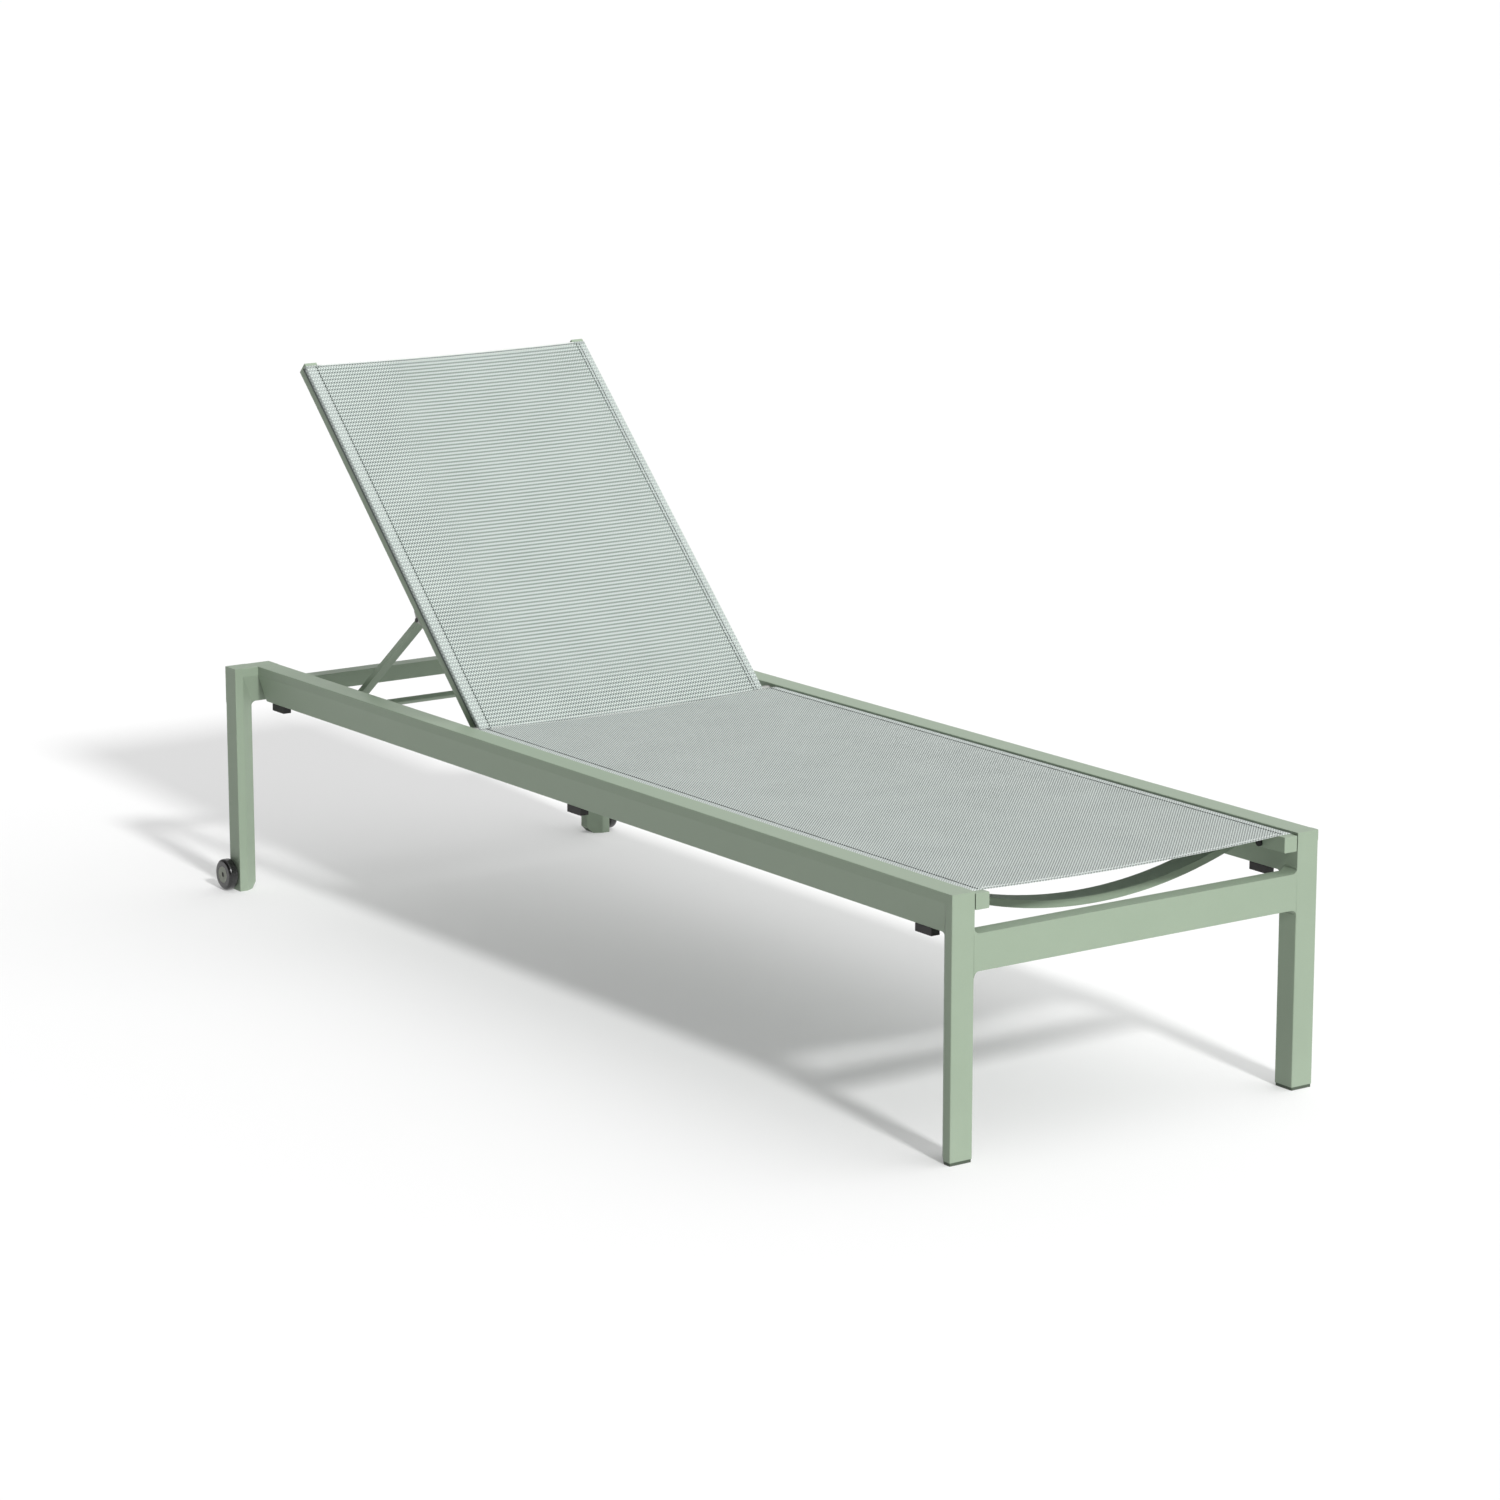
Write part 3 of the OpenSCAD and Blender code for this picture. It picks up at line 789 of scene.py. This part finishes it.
@dataclass
class Sling:
    """Fabric stretched between two grooved tubes, with its seams and cut ends."""

    name: str
    node: str
    body: str
    plane: Plane
    half: float
    tube: float
    start: float
    end: float
    sag: float
    weave: SlingWeave
    roll: Yarn
    seams: dict[Side, tuple[float, ...]]
    tubes: tuple[str, ...]
    hem_radius: float = 1.1 * MM
    rows: int = 80
    columns: int = 56
    thickness: float = 0.8 * MM
    lift: float = 0.5 * MM
    corner: float = 2.2 * MM
    corner_steps: int = 6
    groove_depth: float = 10.0 * MM
    groove_reach: float = 1.6 * MM
    lip: float = 0.2
    lip_rise: float = 0.8 * MM
    side_shares: tuple[float, ...] = (0.35, 0.7)
    top_shares: tuple[float, ...] = (0.35, 0.65, 0.93)
    end_slack: float = 0.22
    slack_fade: float = 26.0
    stitch: Stitch = Stitch()
    seam_margin: float = 2.0 * MM
    end_seam_inset: float = 6.0 * MM
    roll_steps: int = 48
    roll_sides: int = 10
    roll_squeeze: float = 0.9
    yarn_root: float = 1.5 * MM
    yarn_reach: float = 0.55 * MM
    yarn_scatter: float = 0.45 * MM
    yarn_turn: float = 2.3
    yarn_sides: int = 6
    yarn_taper: tuple[float, ...] = (0.42, 0.40, 0.2)

    def length(self) -> float:
        """Length of the flat cut."""
        return self.end - self.start

    def width(self) -> float:
        """Width of the flat cut."""
        return self._run(self._profile())[-1]

    def surface(self, across: float, along: float) -> Vector:
        """Point on the fabric's middle layer over the tubes or the span."""
        return self.plane.at(across, along, self._top() - self._dip(across) * self._tension(along))

    def build(self, finishes: Finishes) -> list[bpy.types.Object]:
        """Args:
            finishes: The lounger's finishes.

        Returns:
            The cloth and the pieces on it.
        """
        cloth = self._cloth(finishes)
        parts = [self._seam(side, finishes) for side in Side]
        parts += [self._end_seams(finishes), self._end_rolls(finishes)] + self._yarn_ends(finishes)
        flat = (self.width(), self.length())
        LOG.info("%s: cut %.4f x %.4f m", self.name, *flat)
        return [cloth, *parts]

    def _inner(self) -> float:
        """Distance from the middle to the inner face of a tube."""
        return self.half - self.tube

    def _top(self) -> float:
        """Height of the fabric's middle layer on top of the tubes."""
        return self.tube / 2 + self.lift

    def _dip(self, across: float) -> float:
        """Depth of the sag at a distance from the middle."""
        share = min(abs(across) / self._inner(), 1.0)
        return self.sag * (1 - share * share)

    def _tension(self, along: float) -> float:
        """Share of the sag at a place along the tubes: the cut ends hang a little more."""
        near = min(along - self.start, self.end - along) / self.length()
        return 1 + self.end_slack * math.exp(-near * self.slack_fade)

    def _from_end(self, end: End, inset: float) -> float:
        """Place along the tubes at a distance from a cut end."""
        return (self.start if end is End.LOWER else self.end) - end.value * inset

    def _profile(self) -> list[tuple[float, float]]:
        """Section of the fabric across the lounger, from groove to groove.

        Returns:
            Pairs of (across, out).
        """
        half_side = self._half_profile()
        return [(-x, z) for x, z in half_side] + list(reversed(half_side[:-1]))

    def _half_profile(self) -> list[tuple[float, float]]:
        """Section from a groove to the middle.

        Returns:
            Pairs of (across, out), starting inside the groove.
        """
        edge = self.half + self.lift
        slot = self.tube / 2 - self.groove_depth
        shoulder = self._top() - self.corner
        line = [(edge - self.groove_reach, slot), (edge - self.corner * self.lip, slot)]
        line.append((edge, slot + self.lip_rise))
        line += [(edge, slot + (shoulder - slot) * share) for share in self.side_shares]
        for step in range(self.corner_steps + 1):
            turn = math.pi / 2 * step / self.corner_steps
            across = edge - self.corner + self.corner * math.cos(turn)
            line.append((across, shoulder + self.corner * math.sin(turn)))
        line += [(self.half - self.tube * share, self._top()) for share in self.top_shares]
        steps = self.columns // 2
        for step in range(1, steps + 1):
            across = self._inner() * (1 - step / steps)
            line.append((across, self._top() - self._dip(across)))
        return line

    def _run(self, line: Sequence[tuple[float, float]]) -> list[float]:
        """Distance along a section at each of its points."""
        return list(accumulate((math.dist(first, second) for first, second in pairwise(line)), initial=0.0))

    def _cloth(self, finishes: Finishes) -> bpy.types.Object:
        """Builds the stretched cloth.

        Args:
            finishes: The lounger's finishes.

        Returns:
            The cloth, in place of the plain packed one.
        """
        mesh = MeshPiece(self.name)
        line = self._profile()
        run = self._run(line)
        grid = []
        for row in range(self.rows + 1):
            along = self.start + self.length() * row / self.rows
            numbers = []
            for (across, out), place in zip(line, run):
                point = self.plane.at(across, along, self._level(across, out, along))
                numbers.append(mesh.add(point, (place - run[-1] / 2, along)))
            grid.append(numbers)
        for low, high in pairwise(grid):
            for column in range(len(line) - 1):
                mesh.faces.append((low[column], low[column + 1], high[column + 1], high[column]))
        cloth = mesh.build(finishes.material(self.weave), self.body, Slot.SLING)
        solid = cloth.modifiers.new("thickness", "SOLIDIFY")
        solid.thickness = self.thickness
        solid.offset = 0.0
        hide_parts(self.node)
        return cloth

    def _level(self, across: float, out: float, along: float) -> float:
        """Height of a point of the section once the tension at its place is counted.

        Args:
            across: Distance from the middle.
            out: Its height in the plain section.
            along: Place along the tubes.

        Returns:
            The height.
        """
        if abs(across) >= self._inner():
            return out
        return self._top() - (self._top() - out) * self._tension(along)

    def _add_stitches(self, row: MeshPiece, path: Callable[[float], Vector], length: float) -> None:
        """Adds a row of stitches.

        Args:
            row: The piece that gathers them.
            path: Gives a point on the row for a distance along it.
            length: Length of the row.
        """
        stitch = self.stitch
        gap = (1 - stitch.length / stitch.pitch) / 2
        for index in range(int(length / stitch.pitch)):
            begin = (index + gap) * stitch.pitch
            points = []
            for station in stitch.stations():
                rise = self.thickness / 2 + stitch.thread * station.rise
                points.append(path(begin + stitch.length * station.share) + self.plane.out * rise)
            radii = [stitch.thread * station.size for station in stitch.stations()]
            row.tube(points, radii, self.plane.out.cross(points[-1] - points[0]), stitch.sides)

    def _seam(self, side: Side, finishes: Finishes) -> bpy.types.Object:
        """Builds the seams that close the edge pocket on one side.

        Args:
            side: The side of the sling.
            finishes: The lounger's finishes.

        Returns:
            The seams as one piece.
        """
        row = MeshPiece(f"{self.name}_seam_{side.name.lower()}")
        begin = self.start + self.seam_margin
        for inset in self.seams[side]:
            across = side.value * (self.half - inset)
            path = lambda run, across=across: self.surface(across, begin + run)
            self._add_stitches(row, path, self.length() - 2 * self.seam_margin)
        return row.build(finishes.material(finishes.thread), self.body, Slot.SLING)

    def _end_seams(self, finishes: Finishes) -> bpy.types.Object:
        """Builds the stitch lines that lock the cut ends.

        Args:
            finishes: The lounger's finishes.

        Returns:
            Both lines as one piece.
        """
        row = MeshPiece(f"{self.name}_end_seams")
        inner = self._inner()
        for end in End:
            along = self._from_end(end, self.end_seam_inset)
            path = lambda run, along=along: self.surface(run - inner, along)
            self._add_stitches(row, path, 2 * inner)
        return row.build(finishes.material(finishes.pale_yarn), self.body, Slot.SLING)

    def _end_rolls(self, finishes: Finishes) -> bpy.types.Object:
        """Builds the welded roll that runs along each cut end of the span.

        Args:
            finishes: The lounger's finishes.

        Returns:
            Both rolls as one piece.
        """
        rolls = MeshPiece(f"{self.name}_end_rolls")
        places = [self._inner() * (2 * step / self.roll_steps - 1) for step in range(self.roll_steps + 1)]
        for end in End:
            along = self._from_end(end, self.hem_radius)
            path = [self.surface(across, along) for across in places]
            radii = [self.hem_radius * self.roll_squeeze] * len(path)
            rolls.tube(path, radii, self.plane.out, self.roll_sides)
        return rolls.build(finishes.material(self.roll), self.body, Slot.SLING)

    def _yarn_ends(self, finishes: Finishes) -> list[bpy.types.Object]:
        """Builds the cut yarns that show at both ends, pale and dark in turn.

        Args:
            finishes: The lounger's finishes.

        Returns:
            The pale ends and the dark ends.
        """
        made = []
        pitch = self.weave.repeat_across / 2
        count = int(2 * self.half / pitch)
        tones = {"pale": finishes.pale_yarn, "dark": finishes.dark_yarn}
        for first, (tone, finish) in enumerate(tones.items()):
            ends = MeshPiece(f"{self.name}_yarn_ends_{tone}")
            for index in range(first, count, len(tones)):
                across = -self.half + (index + MIDDLE) * pitch
                for end in End:
                    self._add_yarn_end(ends, across, end, index)
            made.append(ends.build(finishes.material(finish), self.body, Slot.SLING))
        return made

    def _add_yarn_end(self, ends: MeshPiece, across: float, end: End, index: int) -> None:
        """Adds one cut yarn.

        Args:
            ends: The piece that gathers them.
            across: Distance from the middle.
            end: The cut end that it shows at.
            index: The yarn's number, which sets how far it reaches.
        """
        reach = self.yarn_reach + self.yarn_scatter * math.sin(index * self.yarn_turn + end.value)
        root = self.surface(across, self._from_end(end, self.yarn_root))
        tip = self.surface(across, self._from_end(end, 0.0)) + self.plane.along * end.value * reach
        radii = [self.thickness * share for share in self.yarn_taper]
        ends.tube([root, (root + tip) / 2, tip], radii, self.plane.out, self.yarn_sides)


@dataclass
class Slings:
    """The seat sling and the back sling, placed on their packed tubes."""

    seat_sag: float = 5.0 * MM
    seat_inset: float = 16.0 * MM
    seat_hem: float = 0.7 * MM
    seat_rows: int = 120
    back_sag: float = 3.5 * MM
    back_insets: tuple[float, ...] = (13.0 * MM, 19.0 * MM)
    back_start: float = -5.5 * MM
    back_end: float = 765.0 * MM

    def build(self, finishes: Finishes) -> list[bpy.types.Object]:
        """Builds both slings.

        Args:
            finishes: The lounger's finishes.

        Returns:
            The two cloths and the pieces on them.
        """
        return self._seat(finishes).build(finishes) + self._back(finishes).build(finishes)

    def _seat(self, finishes: Finishes) -> Sling:
        """Lays out the seat sling from the seat tubes and its CAD solid.

        Args:
            finishes: The lounger's finishes.

        Returns:
            The sling, not yet built.
        """
        low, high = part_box("seat_tube_right")
        cad_low, cad_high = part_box("seat_sling")
        return Sling(
            name="seat_cloth",
            node="seat_sling",
            body="frame",
            plane=Plane(UP * ((low.z + high.z) / 2), ALONG, UP),
            half=high.x,
            tube=high.z - low.z,
            start=cad_low.y,
            end=cad_high.y,
            sag=self.seat_sag,
            weave=finishes.seat_weave,
            roll=finishes.dark_yarn,
            seams={side: (self.seat_inset,) for side in Side},
            tubes=("seat_tube_left", "seat_tube_right"),
            hem_radius=self.seat_hem,
            rows=self.seat_rows,
        )

    def _back(self, finishes: Finishes) -> Sling:
        """Lays out the back sling from the recline hinge and the back tubes.

        Args:
            finishes: The lounger's finishes.

        Returns:
            The sling, not yet built.
        """
        recline = next(joint for joint in frame["joints"] if joint["name"] == "recline")
        flat_turn, _ = recline["range_deg"]
        angle = -math.radians(flat_turn)
        along = ALONG * math.cos(angle) + UP * math.sin(angle)
        out = UP * math.cos(angle) - ALONG * math.sin(angle)
        low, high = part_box("back_tube_right")
        return Sling(
            name="back_cloth",
            node="back_sling",
            body="backrest",
            plane=Plane(Vector(recline["pos_m"]), along, out),
            half=high.x,
            tube=high.x - low.x,
            start=self.back_start,
            end=self.back_end,
            sag=self.back_sag,
            weave=finishes.back_weave,
            roll=finishes.pale_yarn,
            seams={Side.LEFT: self.back_insets[1:], Side.RIGHT: self.back_insets},
            tubes=("back_tube_left", "back_tube_right"),
        )


@dataclass
class Welds:
    """Ground weld lines where the crossbars meet the legs."""

    radius: float = 0.75 * MM
    sides: int = 8
    sunk: float = 0.45 * MM
    corner: float = 1.6 * MM
    reach: float = 0.6 * MM
    bars: tuple[str, ...] = ("foot_crossbar", "head_crossbar")

    def build(self, finishes: Finishes) -> list[bpy.types.Object]:
        """Builds the weld lines of every crossbar.

        Args:
            finishes: The lounger's finishes.

        Returns:
            One piece for each crossbar.
        """
        return [self._around(node, finishes) for node in self.bars]

    def _around(self, node: str, finishes: Finishes) -> bpy.types.Object:
        """Builds the weld lines at both ends of a crossbar.

        Args:
            node: The crossbar.
            finishes: The lounger's finishes.

        Returns:
            Both lines as one piece.
        """
        low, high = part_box(node)
        line = MeshPiece(f"{node}_welds")
        for end in (low.x, high.x):
            path = self._loop(node, end)
            line.tube(path, [self.radius] * len(path), ACROSS, self.sides)
        return line.build(finishes.material(finishes.powder), "frame", Slot.POWDER)

    def _loop(self, node: str, end: float) -> list[Vector]:
        """Closed path round the end of a crossbar, just under its surface.

        Args:
            node: The crossbar.
            end: Place of its end across the lounger.

        Returns:
            The path's corners, with the first one again at the end.
        """
        points = [vertex.co for vertex in frame["nodes"][node].data.vertices]
        section = [point for point in points if abs(point.x - end) < self.reach]
        near = min(point.y for point in section) + self.sunk
        far = max(point.y for point in section) - self.sunk
        bottom = min(point.z for point in section) + self.sunk
        top = max(point.z for point in section) - self.sunk
        cut = self.corner
        outline = [(near + cut, bottom), (far - cut, bottom), (far, bottom + cut), (far, top - cut)]
        outline += [(far - cut, top), (near + cut, top), (near, top - cut), (near, bottom + cut)]
        return [Vector((end, y, z)) for y, z in [*outline, outline[0]]]


class PackedParts:
    """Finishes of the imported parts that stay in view."""

    def dress(self, finishes: Finishes) -> list[bpy.types.Object]:
        """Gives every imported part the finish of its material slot.

        Args:
            finishes: The lounger's finishes.

        Returns:
            The parts dressed.
        """
        by_slot = finishes.by_slot()
        slots = {part["node"]: Slot(part["material_slot"]) for part in frame["record"]["subparts"]}
        for name, node in frame["nodes"].items():
            material = finishes.material(by_slot[slots[name]])
            for place in node.material_slots:
                place.material = material
        return list(frame["nodes"].values())


@dataclass
class Studio:
    """Floor, light and camera."""

    floor_half: float = 60.0
    sun_travel: Vector = field(default_factory=lambda: Vector((0.185, 1.42, -1.0)))
    sun_strength: float = 2.55
    sun_angle: float = 6.0
    fill_travel: Vector = field(default_factory=lambda: Vector((-0.35, 0.25, -1.0)))
    fill_strength: float = 1.0
    fill_angle: float = 70.0
    sky: float = 0.50
    sky_across: float = 0.66
    sky_along: float = -0.05
    sky_limit: float = 2.0
    camera_place: Vector = field(default_factory=lambda: Vector((-4.18269, -5.94486, 1.99192)))
    camera_elevation: float = 12.5254
    camera_heading: float = -35.3028
    lens: float = 110.87
    sensor: float = 36.0
    far_clip: float = 240.0

    def build(self, finishes: Finishes) -> None:
        """Builds the whole studio.

        Args:
            finishes: The finishes, for the floor.
        """
        self._floor(finishes)
        self._sun("key_light", self.sun_travel, self.sun_strength, self.sun_angle)
        self._sun("fill_light", self.fill_travel, self.fill_strength, self.fill_angle)
        self._sky()
        self._camera()
        bpy.context.scene.view_settings.view_transform = "Standard"

    def _floor(self, finishes: Finishes) -> None:
        """Lays the floor.

        Args:
            finishes: The finishes, for the floor.
        """
        size = self.floor_half
        mesh = bpy.data.meshes.new("studio_floor")
        corners = [(-size, -size, 0.0), (size, -size, 0.0), (size, size, 0.0), (-size, size, 0.0)]
        mesh.from_pydata(corners, [], [tuple(range(len(corners)))])
        mesh.materials.append(finishes.material(finishes.floor))
        floor = bpy.data.objects.new("studio_floor", mesh)
        bpy.context.scene.collection.objects.link(floor)

    def _sun(self, name: str, travel: Vector, strength: float, angle: float) -> None:
        """Hangs a soft distant light.

        Args:
            name: The light's name.
            travel: The way its light goes.
            strength: Its strength.
            angle: Its width in degrees, which softens the shadows.
        """
        data = bpy.data.lights.new(name, "SUN")
        data.energy = strength
        data.angle = math.radians(angle)
        light = bpy.data.objects.new(name, data)
        light.rotation_euler = travel.to_track_quat("-Z", "Y").to_euler()
        bpy.context.scene.collection.objects.link(light)

    def _sky(self) -> None:
        """Sets a white surround that darkens toward the near side."""
        world = bpy.data.worlds.new("studio_sky")
        graph = Graph(world)
        across, along, _ = graph.axes(graph.node("ShaderNodeTexCoord", output="Generated"))
        strength = (across * self.sky_across + along * self.sky_along + self.sky).clamp(0.0, self.sky_limit)
        shader = graph.node("ShaderNodeBackground", values={"Color": WHITE, "Strength": strength})
        graph.surface("ShaderNodeOutputWorld", shader)
        bpy.context.scene.world = world

    def _camera(self) -> None:
        """Sets the camera."""
        data = bpy.data.cameras.new("camera")
        data.lens = self.lens
        data.sensor_width = self.sensor
        data.clip_end = self.far_clip
        camera = bpy.data.objects.new("camera", data)
        camera.location = self.camera_place
        pitch = math.pi / 2 - math.radians(self.camera_elevation)
        camera.rotation_euler = (pitch, 0.0, math.radians(self.camera_heading))
        bpy.context.scene.collection.objects.link(camera)
        bpy.context.scene.camera = camera


def main() -> None:
    """Builds the studio, the finishes and the lounger's pieces, and reports each piece."""
    logging.basicConfig(level=logging.INFO)
    finishes = Finishes()
    Studio().build(finishes)
    pieces = PackedParts().dress(finishes) + Slings().build(finishes) + Welds().build(finishes)
    for piece in pieces:
        LOG.info("piece %s: %d points", piece.name, len(piece.data.vertices))


if __name__ == "__main__":
    main()
